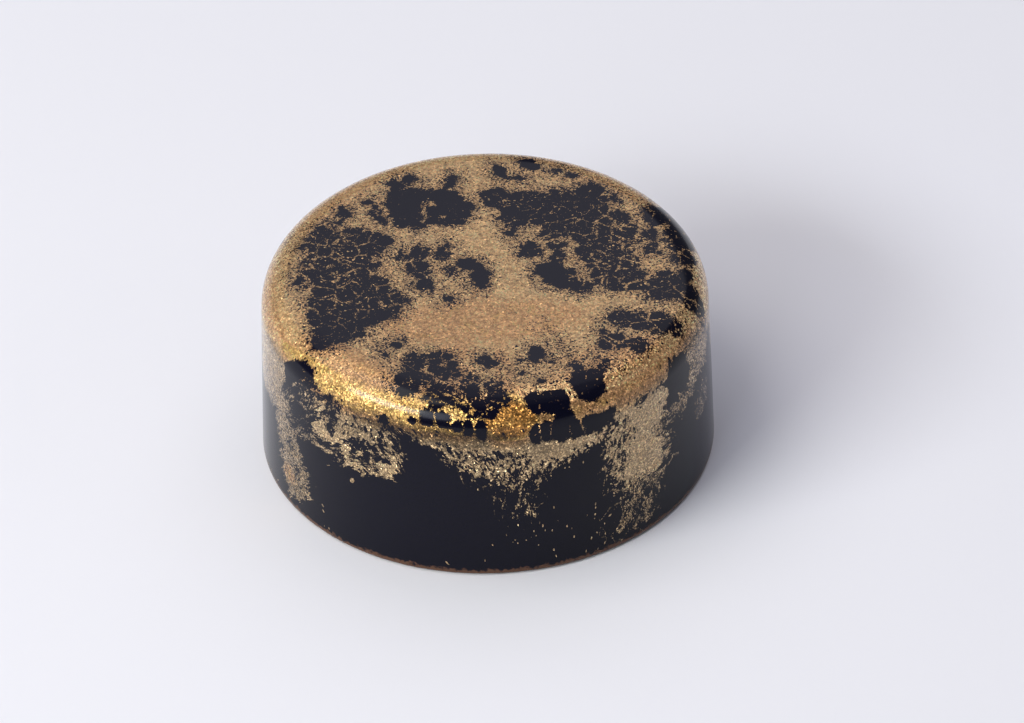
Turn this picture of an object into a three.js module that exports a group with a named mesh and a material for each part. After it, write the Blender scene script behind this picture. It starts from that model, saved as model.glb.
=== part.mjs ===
// A round moulded chocolate bonbon, standing on its scraped base.
//
// It is one solid: a short drum that narrows a little towards the top, as it must to leave its mould,
// with a broad rounded shoulder and a top that is flat but for a slight crown. The base is flat, where
// the full mould was scraped level, and its edge is a little broken. The gold dust on the shell is a
// film far thinner than a hair, so it has no solid.
//
// Frame: millimetres, +Z up, origin at the middle of the base. -Y is the front, and +X is to the right.

import * as THREE from "three";

// Driving dimensions, in millimetres, and one in degrees.
const BASE_DIAMETER = 29;
const HEIGHT = 12.9;
const DRAFT_ANGLE = 2.3;
const SHOULDER_RADIUS = 2.4;
const BASE_EDGE = 0.2;
const TOP_CROWN = 0.05;

// How finely the round surfaces are cut.
const AROUND = 120;
const SHOULDER_STEPS = 10;
const TOP_RINGS = 3;

const baseRadius = BASE_DIAMETER / 2;
const draft = THREE.MathUtils.degToRad(DRAFT_ANGLE);

// The top stays level out to the shoulder's edge, and the crown rises inside it.
const levelHeight = HEIGHT - TOP_CROWN;

// The side's line, carried on, reaches this radius at the height of the top.
const sideRadiusAtTop = baseRadius - levelHeight * Math.tan(draft);

// The shoulder is an arc that touches both the side's line and the level top.
const shoulderTurn = Math.PI / 2 - draft;
const levelRadius =
  sideRadiusAtTop - SHOULDER_RADIUS * Math.tan(shoulderTurn / 2);

function shoulderArc() {
  const points = [];
  for (let i = 0; i <= SHOULDER_STEPS; i++) {
    const angle = draft + (shoulderTurn * i) / SHOULDER_STEPS;
    const radius = levelRadius + SHOULDER_RADIUS * Math.cos(angle);
    const height = levelHeight - SHOULDER_RADIUS * (1 - Math.sin(angle));
    points.push(new THREE.Vector2(radius, height));
  }
  return points;
}

// The crown runs from just inside the shoulder to the middle of the top.
function crownCurve() {
  const points = [];
  for (let i = TOP_RINGS - 1; i >= 0; i--) {
    const share = i / TOP_RINGS;
    const height = levelHeight + TOP_CROWN * (1 - share * share);
    points.push(new THREE.Vector2(levelRadius * share, height));
  }
  return points;
}

// Half of the upright section, from the middle of the base round to the middle of the top.
function section() {
  const middleOfBase = new THREE.Vector2(0, 0);
  const edgeInner = new THREE.Vector2(baseRadius - BASE_EDGE, 0);
  const edgeOuter = new THREE.Vector2(
    baseRadius - BASE_EDGE * Math.tan(draft),
    BASE_EDGE,
  );
  return [
    middleOfBase,
    edgeInner,
    edgeOuter,
    ...shoulderArc(),
    ...crownCurve(),
  ];
}

// LatheGeometry turns its section about Y, so the drum is then stood up along Z.
function bonbonGeometry() {
  const geometry = new THREE.LatheGeometry(section(), AROUND);
  geometry.rotateX(Math.PI / 2);
  return geometry;
}

// Black cocoa butter over dark chocolate, satin.
function shellMaterial() {
  return new THREE.MeshStandardMaterial({
    color: 0x24222b,
    roughness: 0.38,
    metalness: 0,
  });
}

const bonbon = new THREE.Mesh(bonbonGeometry(), shellMaterial());
bonbon.name = "bonbon";

const part = new THREE.Group();
part.add(bonbon);

export default part;
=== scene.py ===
"""Looks of a round moulded chocolate bonbon: a satin black shell marbled with gold dust."""

import functools
import itertools
import math

import bmesh
import bpy
import numpy as np
from mathutils import Matrix, Vector


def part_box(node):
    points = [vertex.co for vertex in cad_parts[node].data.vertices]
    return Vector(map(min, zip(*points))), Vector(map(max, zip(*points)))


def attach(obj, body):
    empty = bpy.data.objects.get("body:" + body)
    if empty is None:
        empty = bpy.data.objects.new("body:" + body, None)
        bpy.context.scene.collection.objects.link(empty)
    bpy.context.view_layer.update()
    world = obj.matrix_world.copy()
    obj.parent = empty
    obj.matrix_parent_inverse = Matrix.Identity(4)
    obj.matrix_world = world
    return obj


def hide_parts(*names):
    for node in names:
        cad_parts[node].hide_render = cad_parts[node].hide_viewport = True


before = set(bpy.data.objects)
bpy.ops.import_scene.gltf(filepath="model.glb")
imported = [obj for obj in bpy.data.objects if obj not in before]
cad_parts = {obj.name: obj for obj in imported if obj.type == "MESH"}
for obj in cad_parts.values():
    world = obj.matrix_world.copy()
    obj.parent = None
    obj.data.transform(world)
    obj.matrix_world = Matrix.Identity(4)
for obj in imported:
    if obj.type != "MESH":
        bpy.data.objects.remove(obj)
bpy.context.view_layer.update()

MM = 0.001

# The form, in millimetres and degrees. The base and the height come from the part's box in model.glb.
box_low, box_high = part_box("bonbon")
HEIGHT = box_high.z / MM
BASE_RADIUS = (box_high.x - box_low.x) / 2 / MM
DRAFT = math.radians(2.3)
SHOULDER_RADIUS = 2.4
TOP_CROWN = 0.05
BASE_EDGE = 0.2

# How finely the mesh is cut: the cells across the top, how far towards the front they are drawn, the
# steps down the side above and below a height, and the rings of the base, in millimetres from its edge.
TOP_CELLS = 148
DRAWN_FORWARDS = 0.2
FINE_STEP = 0.12
COARSE_STEP = 0.2
COARSE_BELOW = 6.5
BASE_INSETS = (0, 0.5, 1.5, 3, 5, 8, 11, 13.5)

# One degree of azimuth, in millimetres along the side.
WALL_MM_PER_DEGREE = 0.248

# Below its start the dust flowed. For each millimetre of fall the space that its pattern is laid out in
# is this much shorter, so the pattern comes out long, and its slant is taken round this radius.
FLOW_START = 11
FLOW_SHORTENING = 0.4
FLOW_RADIUS = 14.4

# How far edges and flow wander, and how large the lumps are that they wander in. The lumps on the side
# lie in a space that is squeezed in height, which makes them tall.
EDGE_WANDER = 0.2
TOP_LUMP = 1.1
SIDE_LUMP = 0.9
SIDE_SQUEEZE = 0.45
FLOW_WANDER = 0.25
FLOW_LUMP = 1.6

# The depth where no edge is near, the most that a depth is kept to, and the depth of frayed dust.
NO_EDGE = 3.0
DEEPEST = 1.5
FRAYED_DEPTH = 0.05

# Heights between which a value of the marbling passes from 0 to 1.
SIDE_TO_TOP = (10.6, 11.6)
SHOULDER_TO_LEVEL = (12.0, 12.7)
PALE_TO_FULL_TONE = (10.2, 11.6)
CRISP_ENDS = (12.84, 12.6)
SPECKS_NEAR_FOOT = (4.5, 0.8)

# The top's ovals count above the first of these heights, and the side's below the second.
TOP_OVALS_ABOVE = 10.4
SIDE_OVALS_BELOW = 12.6

# How much edges fray on the top and the side, and how much more where the dust is frayed. How much
# a crisp edge takes from the wander on the top and the side, from the fray and from the lace.
TOP_FRAY = 0.35
SIDE_FRAY = 0.5
MORE_FRAY = 0.8
CRISP_OFF_TOP_WANDER = 0.6
CRISP_OFF_SIDE_WANDER = 0.75
CRISP_OFF_FRAY = 0.85
CRISP_OFF_LACE = 0.7

# How thin the dust gets on the top, the grains in its lace and near the foot, and the usual tone and
# how much deeper it is where the dust lies thick.
TOP_THINNING = 0.4
TOP_GRAINS = 0.2
FOOT_GRAINS = 0.022
USUAL_TONE = 0.3
THICK_DEEPER = 0.3

# The dust's patterns, in millimetres. Real flakes are near 0.02 mm, too fine to show, so they are drawn
# at 0.075 mm.
CELL = 1.0
EDGE_LUMP = 0.27
PATCH = 0.9
GRAIN_SPACING = 0.24
FLAKE = 0.075
MOTTLE = 0.2
FOOT_LUMP = 0.3

# At the walls of its cells the dust reaches this much further, and less far for each millimetre from
# them. Raggedness moves its edge this much, and the bare line at the foot is up to about this high.
SCALLOP_REACH = 0.36
SCALLOP_SLOPE = 2.0
RAGGEDNESS = 3.0
FOOT_LINE = 0.8

# The depths over which the dust thins towards its edge and over which it holds pores, and their share.
THINS_OVER = (0.1, 1.4)
PORES_OVER = (0.1, 1.0)
PORE_SHARE = 0.12

# Threads of lace: how far their width follows the patches, what comes off it and how ragged it is. How
# strong threads and blotches are at most, and the heights of the ragged noise that a blotch rises over.
THREAD_WIDTH = 0.5
THREAD_LESS = 0.18
THREAD_RAGGEDNESS = 0.25
THREAD_STRENGTH = 0.58
BLOTCH_STRENGTH = 0.42
BLOTCH_OVER = (0.47, 0.7)

# Where each thing's rim starts and ends. Grains and pores have theirs in shares of the grains' spacing,
# a flake in its chance, and the others in millimetres.
DUST_RIM = (-0.08, 0.12)
THREAD_RIM = (-0.04, 0.06)
GRAIN_RIM = (0.32, 0.2)
PORE_RIM = (0.42, 0.3)
FLAKE_RIM = (-0.1, 0.1)
FOOT_RIM = (0.1, -0.1)

# How bright flakes are at least, how much brighter the best are, and how rare those are. How far the
# mottling goes each way, and how dark the dust gets and over which chances of a flake.
DIMMEST = 0.5
BRIGHTER = 1.5
BRIGHT_RARITY = 2.5
MOTTLED = (0.7, 1.3)
THIN_SHADE = 0.3
THIN_OVER = (0.15, 0.88)

# The scraped base: the width and depth of its drag marks, how much the pattern is squeezed along them,
# which makes them long, and their turn in radians.
DRAG_WIDTH = 0.35
DRAG_DEPTH = 0.1
DRAG_SQUEEZE = 0.26
DRAG_TURN = 0.5

# Finishes: the gloss over the shell and dust, what lies under it, the scraped chocolate and the floor.
GLOSS_ROUGHNESS = 0.16
GLOSS_IOR = 1.28
BUTTER_ROUGHNESS = 0.5
DUST_ROUGHNESS = 0.42
DUST_METAL = 0.92
SCRAPED_ROUGHNESS = 0.6
CARD_ROUGHNESS = 0.9

# Colours, as they look in white light. The dust's middle tones have their places on its ramp.
BLACK_BUTTER = "060615"
BARE_CHOCOLATE = "5A3F30"
THIN_DUST_TONE = "C6AA82"
DUST_TONES = ((0.3, "F0C289"), (0.6, "EBB47C"), (0.8, "E0B46C"))
THICK_DUST_TONE = "B27F42"
SCRAPED_DARK = "3A2419"
SCRAPED_PALE = "5A3C2E"
FLOOR_CARD = "E0E0E4"
STUDIO_AIR = "A4A8B6"

# The camera, at the photograph's viewing angle. The target is a point in the bonbon, in millimetres.
CAMERA_ELEVATION = 37.97
CAMERA_ROLL = 1.27
CAMERA_DISTANCE = 290
CAMERA_TARGET = (1.61, -0.18, 5.57)
LENS_MM = 160.4
SENSOR_MM = 36

# The softboxes: azimuth and elevation in degrees, distance, width and height in metres, the radiance
# of the face and its colour. The key's strip and spill shape the streak on the shoulder, and the ones
# overhead the sheen of the top.
SOFTBOXES = {
    "key_softbox": (-54, 27, 0.6, 0.42, 0.25, 2.05, "FFFABC"),
    "key_strip": (-53, 29, 0.58, 0.34, 0.12, 18.5, "F0F5FF"),
    "key_spill": (-25, 27, 0.6, 0.14, 0.2, 5.0, "ECF0FF"),
    "left_softbox": (-80, 56, 0.8, 0.6, 0.5, 2.5, "FFFAF4"),
    "overhead_softbox": (180, 60, 0.9, 1.4, 0.96, 0.95, "F6F4FF"),
    "overhead_spill": (0, 82, 0.9, 1.4, 0.32, 0.45, "F6F4FF"),
    "overhead_edge": (0, 66, 0.9, 1.4, 0.2, 0.2, "F6F4FF"),
    "right_softbox": (76, 28, 0.7, 0.2, 0.2, 1.0, "FFF4E8"),
}
AIR_STRENGTH = 0.3
FLOOR_REACH = 1.5

# Settings that nodes share.
ADD = {"operation": "ADD"}
SUBTRACT = {"operation": "SUBTRACT"}
MULTIPLY = {"operation": "MULTIPLY"}
MULTIPLY_ADD = {"operation": "MULTIPLY_ADD"}
MAXIMUM = {"operation": "MAXIMUM"}
POWER = {"operation": "POWER"}
LESS_THAN = {"operation": "LESS_THAN"}
SCALE = {"operation": "SCALE"}
NORMALIZE = {"operation": "NORMALIZE"}
SMOOTH = {"interpolation_type": "SMOOTHSTEP"}
COLOURS = {"data_type": "RGBA"}


# Small tools

def linear(hex_colour):
    """The linear RGBA of an sRGB colour such as "C8A060"."""
    channels = [int(hex_colour[i:i + 2], 16) / 255 for i in (0, 2, 4)]
    return [c / 12.92 if c <= 0.04045 else ((c + 0.055) / 1.055) ** 2.4 for c in channels] + [1.0]


def add_node(tree, kind, settings, inputs):
    """A shader node with its settings, and its inputs set by name or number, or in order from a list.
    A socket is linked, and a node by its first output."""
    node = tree.nodes.new("ShaderNode" + kind)
    for name, value in settings.items():
        setattr(node, name, value)
    pairs = inputs.items() if isinstance(inputs, dict) else enumerate(inputs)
    for key, value in pairs:
        if isinstance(value, bpy.types.Node):
            value = value.outputs[0]
        if isinstance(value, bpy.types.NodeSocket):
            tree.links.new(value, node.inputs[key])
        else:
            node.inputs[key].default_value = value
    return node


def smooth_noise(points, size, seed):
    """Noise from about -1 to 1 whose lumps are about size millimetres across."""
    side = 64
    table = np.random.default_rng(seed).uniform(-1, 1, (side, side, side))
    scaled = points / size
    cell = np.floor(scaled).astype(np.int64)
    part = scaled - cell
    ease = part * part * part * (part * (part * 6 - 15) + 10)
    total = np.zeros(len(points))
    for corner in itertools.product((0, 1), repeat=3):
        i, j, k = ((cell + corner) % side).T
        weight = np.prod(np.where(corner, ease, 1 - ease), axis=1)
        total += weight * table[i, j, k]
    return total


def rough_noise(points, size, seed, octaves=3):
    """Noise with finer noise on it, each octave half as large and half as strong."""
    return sum(
        smooth_noise(points, size / 2 ** k, seed + k) / 2 ** k for k in range(octaves)
    )


def rough_noises(points, size, seeds, octaves=3):
    """A channel of rough noise for each seed."""
    return np.stack([rough_noise(points, size, seed, octaves) for seed in seeds], 1)


def ease_between(low, high, value):
    """0 at low, 1 at high, and a smooth step between them."""
    share = np.clip((value - low) / (high - low), 0, 1)
    return share * share * (3 - 2 * share)


# Ovals, which all the marbling is laid out with

def oval_gap(plane, x, y, half_long, half_wide, turn):
    """Distance in millimetres from an oval's edge, less than 0 inside it."""
    c, s = math.cos(math.radians(turn)), math.sin(math.radians(turn))
    dx, dy = plane[:, 0] - x, plane[:, 1] - y
    u, v = dx * c + dy * s, dy * c - dx * s
    near = np.hypot(u / half_long, v / half_wide)
    steep = np.hypot(u / half_long ** 2, v / half_wide ** 2)
    gap = near * (near - 1) / np.maximum(steep, 1e-6)
    return np.maximum(gap, -min(half_long, half_wide))


# The marbling on the top, looking down on it: x, y, half length and half width in millimetres, and
# the turn in degrees. The dust lies everywhere but in the pools, and the islands are dust in a pool.
TOP_POOLS = [
    # The great pool at the back left, with its bumps and the wedges beside it.
    (-5.0, 7.3, 1.35, 1.5, 0),
    (-4.8, 5.8, 1.3, 1.15, 0),
    (-3.6, 7.8, 1.3, 0.8, 0),
    (-2.3, 7.5, 0.95, 1.1, 0),
    (-1.85, 6.2, 1.15, 1.5, 0),
    (-2.9, 5.6, 1.2, 0.95, 0),
    (-3.95, 4.95, 0.75, 0.65, 0),
    (-5.5, 9.2, 0.55, 0.65, 0),
    (-4.6, 9.7, 0.52, 0.5, 0),
    (-2.0, 9.4, 0.42, 0.85, 0),
    (-6.65, 5.45, 0.95, 0.32, -55),
    (-6.85, 6.7, 0.8, 0.25, -60),
    (-8.8, 6.2, 0.42, 0.75, 10),
    (-7.4, 7.4, 0.3, 0.3, 0),
    # The long pool down the left.
    (-9.7, 4.4, 1.0, 0.9, 10),
    (-10.2, 3.0, 1.0, 1.2, 0),
    (-7.7, 3.6, 0.8, 0.9, 20),
    (-6.5, 3.1, 0.7, 0.9, 20),
    (-9.3, 2.3, 2.2, 1.5, 0),
    (-7.2, 2.2, 1.0, 0.9, 30),
    (-9.7, 0.6, 2.2, 1.5, 0),
    (-7.3, 0.8, 0.95, 0.9, 0),
    (-9.2, -1.0, 2.8, 1.4, 0),
    (-7.2, -1.4, 1.5, 1.1, 0),
    (-8.0, -3.0, 3.0, 1.4, 0),
    (-6.2, -3.2, 1.3, 1.4, 0),
    (-8.9, -4.8, 1.9, 1.4, 0),
    (-6.6, -4.5, 1.6, 0.75, 18),
    (-9.3, -6.2, 1.5, 1.1, 0),
    (-9.9, -7.0, 1.0, 0.7, 0),
    (-8.3, -6.1, 1.0, 0.8, 0),
    # The islands' channel between it and the middle.
    (-4.1, 1.6, 0.62, 0.9, 0),
    (-5.2, 1.4, 0.34, 0.6, 20),
    (-4.1, 0.1, 0.75, 0.95, 15),
    (-3.8, -1.3, 0.58, 0.95, 0),
    (-3.25, -2.1, 0.3, 0.3, 0),
    (-2.65, 1.5, 0.52, 0.8, 0),
    (-2.4, 2.3, 0.5, 0.32, 0),
    # The comma in the middle, and the small one below it.
    (-0.9, 0.4, 0.9, 0.68, 0),
    (-1.85, -0.05, 0.5, 0.62, 0),
    (-0.25, -0.7, 0.65, 0.9, 0),
    (-0.3, -1.7, 0.45, 0.58, 0),
    (-2.35, -3.1, 0.42, 0.42, 30),
    # Right of the middle.
    (2.95, 1.8, 0.82, 0.85, 0),
    (4.8, 1.4, 0.42, 0.85, 15),
    (4.6, 2.4, 0.6, 0.35, 0),
    (4.0, -0.4, 1.0, 1.05, 0),
    (4.4, 0.45, 0.4, 0.55, 20),
    (4.9, -1.3, 1.4, 0.95, -25),
    (5.9, -2.05, 0.75, 0.65, 0),
    (5.5, -0.5, 0.5, 0.5, 0),
    # Small ones at the back.
    (1.1, 10.35, 0.52, 0.85, 15),
    (2.15, 9.6, 0.6, 0.25, -20),
    (3.1, 11.1, 0.85, 0.48, -30),
    (4.85, 10.3, 0.4, 0.42, 0),
    (5.6, 9.75, 0.5, 0.28, -30),
    # The wide pool at the back right, running down the right side.
    (0.75, 7.5, 0.78, 1.15, 0),
    (1.6, 6.5, 0.75, 1.0, 0),
    (2.9, 6.9, 1.6, 1.35, 0),
    (5.2, 7.0, 2.0, 1.3, 0),
    (7.0, 7.8, 1.0, 1.1, 0),
    (7.0, 6.2, 1.1, 1.3, 0),
    (2.1, 5.3, 1.2, 0.9, 20),
    (4.2, 5.2, 1.4, 1.3, 0),
    (6.3, 4.8, 2.0, 1.4, 0),
    (4.6, 3.6, 1.1, 0.8, 0),
    (1.8, 3.8, 0.36, 0.6, 0),
    (8.5, 5.1, 0.95, 0.62, -35),
    (8.5, 7.25, 0.42, 0.6, 0),
    (7.3, 3.4, 1.7, 1.3, 0),
    (7.4, 1.7, 1.6, 1.5, 0),
    (9.0, 2.0, 0.45, 0.9, 10),
    (8.1, 0.2, 1.7, 1.3, 0),
    (8.2, -1.2, 1.6, 1.2, 0),
    (8.4, -2.15, 1.2, 0.55, 0),
    (9.4, 3.3, 0.62, 0.95, 15),
    (10.7, 3.0, 0.75, 0.5, -50),
    (10.5, 1.65, 0.5, 0.65, 0),
    (11.9, 1.9, 0.45, 0.7, -15),
    (10.9, 5.2, 1.0, 1.2, 0),
    (12.1, 5.6, 0.9, 1.6, 25),
    (12.4, 3.2, 1.0, 1.2, 0),
    (12.5, 1.0, 0.8, 1.0, -20),
    (12.5, -0.7, 0.5, 0.45, 0),
    (10.1, -1.6, 1.1, 0.75, 0),
    (11.4, -2.0, 1.5, 1.25, 0),
    (12.6, -2.7, 1.0, 1.2, 0),
    (10.9, -3.1, 0.9, 0.6, -20),
    # The two pools at the front right.
    (8.3, -5.4, 0.9, 0.78, 0),
    (10.0, -5.8, 1.5, 0.95, 0),
    (11.3, -5.8, 1.0, 0.65, 10),
    (7.7, -7.7, 0.9, 0.95, 0),
    (9.1, -8.0, 1.1, 0.55, -5),
    (7.2, -6.75, 0.35, 0.3, 0),
    # The front right one with its spike, and the small ones towards the middle.
    (6.1, -11.2, 1.05, 0.95, 0),
    (7.0, -10.4, 0.46, 0.42, 0),
    (5.6, -10.5, 0.35, 0.6, 0),
    (5.4, -9.4, 0.75, 0.07, -60),
    (7.4, -9.75, 0.5, 0.1, -35),
    (3.1, -8.9, 0.5, 0.92, 0),
    (2.4, -9.4, 0.36, 0.25, 0),
    (-0.1, -9.35, 0.55, 0.44, -20),
    (0.55, -9.7, 0.5, 0.4, -20),
    (2.3, -10.7, 0.22, 0.2, 0),
    (3.4, -11.4, 0.28, 0.28, 0),
    (4.1, -9.7, 0.2, 0.18, 0),
    (2.9, -12.8, 0.52, 0.48, 0),
    (4.1, -12.6, 1.0, 0.55, 12),
    # The front left one, the laced field that runs from it over the shoulder, and the small ones above.
    (-4.3, -9.5, 0.85, 0.9, 0),
    (-4.6, -11.0, 1.0, 0.95, 0),
    (-5.4, -11.1, 0.35, 0.5, 0),
    (-3.1, -9.1, 0.95, 0.65, 0),
    (-2.7, -10.0, 0.85, 0.95, 0),
    (-2.0, -10.6, 0.5, 0.4, 0),
    (-3.2, -11.3, 0.9, 0.45, 0),
    (-2.6, -12.1, 0.85, 0.5, -8),
    (-3.0, -12.75, 0.7, 0.33, -13),
    (-0.9, -11.2, 0.55, 0.5, 0),
    (-0.9, -12.2, 0.8, 0.65, 0),
    (-0.55, -13.1, 0.72, 0.42, 0),
    (-1.5, -12.9, 1.2, 0.34, -7),
    (0.8, -12.9, 0.72, 0.48, 0),
    (0.55, -11.7, 0.6, 0.45, 0),
    (0.6, -12.6, 0.75, 0.55, 0),
    (-5.5, -7.4, 0.45, 0.33, 35),
    (-6.25, -8.3, 0.35, 0.12, -50),
]
TOP_ISLANDS = [
    (-3.5, 6.8, 0.42, 0.3, 20),
    (-3.8, 5.9, 0.1, 0.8, -5),
    (-2.5, 5.6, 0.14, 0.12, 0),
    (-4.7, 9.2, 0.2, 0.12, 0),
    (-8.9, 4.6, 0.5, 0.25, 30),
    (-6.9, 4.4, 0.85, 0.16, -18),
    (-6.75, 1.1, 0.14, 0.5, 20),
    (-10.9, 1.5, 0.6, 0.11, 0),
    (-10.2, 0.6, 0.8, 0.1, 8),
    (-11.2, -0.3, 0.6, 0.1, 0),
    (-3.4, 2.1, 0.2, 0.6, 0),
    (-3.35, 0.8, 0.16, 0.3, 0),
    (-1.5, -0.4, 0.06, 0.5, 20),
    (3.0, 3.6, 0.6, 0.9, -20),
    (5.7, 1.0, 0.1, 0.9, 0),
    (6.3, -0.9, 0.15, 1.0, 25),
    (4.0, 1.3, 0.5, 0.12, 45),
    (9.3, 0.9, 0.2, 1.0, 0),
    (11.1, 0.3, 0.55, 0.75, 0),
    (9.2, 6.6, 0.6, 1.4, 10),
    (9.95, 2.9, 0.1, 0.8, 15),
    (11.2, 3.2, 0.1, 0.7, -25),
    (1.2, 6.9, 0.5, 0.06, 55),
    (-3.5, -10.0, 0.15, 0.7, 0),
    (-3.7, -10.4, 0.08, 0.5, 25),
    (-2.6, -9.6, 0.1, 0.3, 10),
    (-2.3, -11.5, 0.9, 0.16, -15),
    (-0.15, -12.2, 0.07, 1.4, 0),
    (-1.8, -12.7, 0.5, 0.08, -20),
    (1.9, -12.3, 0.24, 0.8, 0),
    (3.2, -12.7, 0.05, 0.45, 14),
]

# The marbling on the shoulder and side: the azimuth in degrees, 0 in front and rising to the right,
# the height, half length and half width in millimetres, and the turn in degrees.
# Down to this line the dust is unbroken but for holes: azimuth and height.
DUST_EDGE = [
    (-180, 10.2), (-168, 9.4), (-155, 10.6), (-140, 9.0), (-126, 10.4), (-112, 10.8), (-100, 9.6),
    (-88, 9.6), (-76, 9.0), (-67, 10.2), (-62, 10.7), (-60, 11.3), (-52, 11.6), (-46, 10.9), (-40, 10.6),
    (-29, 10.3), (-24, 10.5), (-20, 10.3), (-17, 9.9), (-14, 9.7), (-12, 9.3), (-10, 8.7), (-8, 8.5),
    (-5, 8.0), (-3, 7.7), (0, 7.6), (3, 7.3), (8, 7.2), (11, 7.6), (14, 7.8), (18, 8.1), (22, 8.5),
    (28, 8.8), (30, 9.0), (31, 9.6), (32, 10.6), (36, 10.3), (52, 10.6), (54, 11.5), (60, 11.4),
    (63, 11.0), (68, 10.4), (76, 9.6), (88, 9.9), (100, 10.7), (114, 9.3), (128, 10.5), (140, 10.8),
    (152, 9.2), (166, 10.6), (180, 10.2),
]
SIDE_SMEARS = [
    # The broad stripe at the left, which bends towards the front as it falls.
    (-75.0, 9.3, 2.8, 1.8, 0),
    (-69.5, 8.6, 1.7, 1.6, 0),
    (-66.0, 10.0, 1.0, 1.1, 0),
    (-65.5, 7.4, 1.6, 1.3, 0),
    (-62.8, 6.0, 1.5, 1.1, 0),
    (-76.0, 7.3, 2.2, 1.2, 0),
    (-60.8, 4.8, 1.5, 1.1, 0),
    (-58.3, 3.4, 1.8, 1.1, 0),
    (-57.0, 2.4, 1.7, 0.9, 0),
    (-59.0, 1.6, 0.9, 0.7, 0),
    (-52.0, 6.75, 1.6, 0.16, 8),
    # The laced patch to its right.
    (-46.4, 9.4, 0.45, 1.5, 0),
    (-45.6, 7.9, 0.75, 0.6, 20),
    (-39.2, 9.0, 0.42, 1.7, 10),
    (-42.0, 8.0, 1.0, 0.35, 20),
    (-34.0, 10.2, 1.7, 0.5, 0),
    (-35.0, 9.4, 1.2, 0.45, 0),
    (-28.6, 9.6, 0.5, 1.1, 15),
    (-25.2, 8.8, 0.4, 1.0, 15),
    (-24.6, 7.7, 0.35, 0.6, 0),
    (-26.2, 7.2, 0.6, 0.5, 0),
    (-29.2, 6.7, 0.5, 0.16, 20),
    (-34.2, 7.1, 0.32, 0.8, 0),
    (-38.0, 7.2, 0.22, 0.6, 0),
    (-35.4, 6.7, 0.5, 0.32, 0),
    (-33.3, 6.4, 0.3, 0.3, 0),
    (-30.4, 8.4, 0.12, 0.9, 5),
    # The branch that runs down the front.
    (8.1, 7.0, 0.08, 0.6, 10),
    (8.9, 6.0, 0.06, 0.5, 12),
    (9.8, 5.0, 0.05, 0.5, 12),
    (7.4, 5.2, 0.04, 0.3, -20),
    (10.6, 4.4, 0.04, 0.3, 30),
    (12.3, 7.0, 0.06, 0.4, 0),
    (5.0, 6.9, 0.06, 0.3, 10),
    # The column at the right and its drips.
    (42.0, 9.5, 2.5, 1.3, 0),
    (42.5, 8.2, 2.1, 1.2, 0),
    (42.5, 6.8, 1.9, 1.2, 0),
    (42.8, 5.4, 1.9, 1.2, 0),
    (42.6, 4.3, 1.5, 0.9, 0),
    (42.8, 3.0, 0.75, 0.8, 0),
    (42.4, 1.8, 0.4, 0.8, 0),
    (36.8, 2.8, 0.12, 0.9, 0),
    (35.5, 1.3, 0.35, 0.2, 15),
    (45.4, 3.3, 0.25, 0.7, 30),
    (39.6, 3.2, 0.15, 0.8, 0),
    (33.2, 7.6, 0.55, 2.2, 0),
    (50.6, 6.8, 0.25, 1.7, 10),
    # The smears beyond it.
    (55.5, 7.75, 1.6, 0.5, 3),
    (62.5, 8.0, 1.4, 0.4, 12),
    (70.0, 8.8, 1.8, 0.9, 0),
    (66.0, 10.2, 1.3, 0.8, -30),
    (73.0, 9.8, 1.4, 1.2, 0),
    (71.5, 5.6, 1.2, 0.9, 0),
    # What falls down the back, as broad and as broken as in front.
    (86.0, 8.8, 0.6, 1.7, 10),
    (89.5, 7.0, 0.35, 1.3, 15),
    (97.0, 9.6, 1.4, 0.7, -10),
    (105.0, 9.2, 0.9, 1.6, 5),
    (107.0, 7.4, 1.2, 1.9, 5),
    (109.0, 5.2, 0.7, 1.6, 10),
    (107.0, 3.0, 0.25, 1.1, -5),
    (122.0, 8.6, 1.8, 1.2, 10),
    (129.0, 8.6, 1.2, 1.0, 0),
    (132.0, 7.4, 0.5, 1.3, -15),
    (138.0, 8.6, 1.0, 0.6, 0),
    (147.0, 9.0, 1.4, 1.4, 0),
    (151.0, 7.6, 1.3, 1.1, 0),
    (154.0, 5.8, 0.22, 1.4, -10),
    (146.5, 6.2, 0.14, 1.2, 10),
    (168.0, 9.6, 0.9, 1.4, 0),
    (-177.0, 9.2, 1.6, 1.4, 0),
    (-175.5, 7.0, 1.2, 2.0, -8),
    (-172.5, 4.6, 0.8, 1.7, -10),
    (-170.0, 2.6, 0.4, 1.0, -10),
    (-160.0, 8.6, 0.5, 1.7, 10),
    (-149.0, 8.6, 1.7, 1.2, 0),
    (-145.0, 7.2, 1.4, 1.1, 0),
    (-142.0, 5.4, 0.16, 1.4, 5),
    (-150.0, 5.6, 0.25, 0.9, -10),
    (-130.0, 9.4, 1.6, 1.0, 15),
    (-118.0, 8.0, 0.7, 2.2, 0),
    (-104.0, 7.8, 1.3, 1.7, -5),
    (-101.0, 5.2, 0.5, 1.5, -12),
    (-90.0, 8.6, 1.2, 1.1, 0),
]
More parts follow.
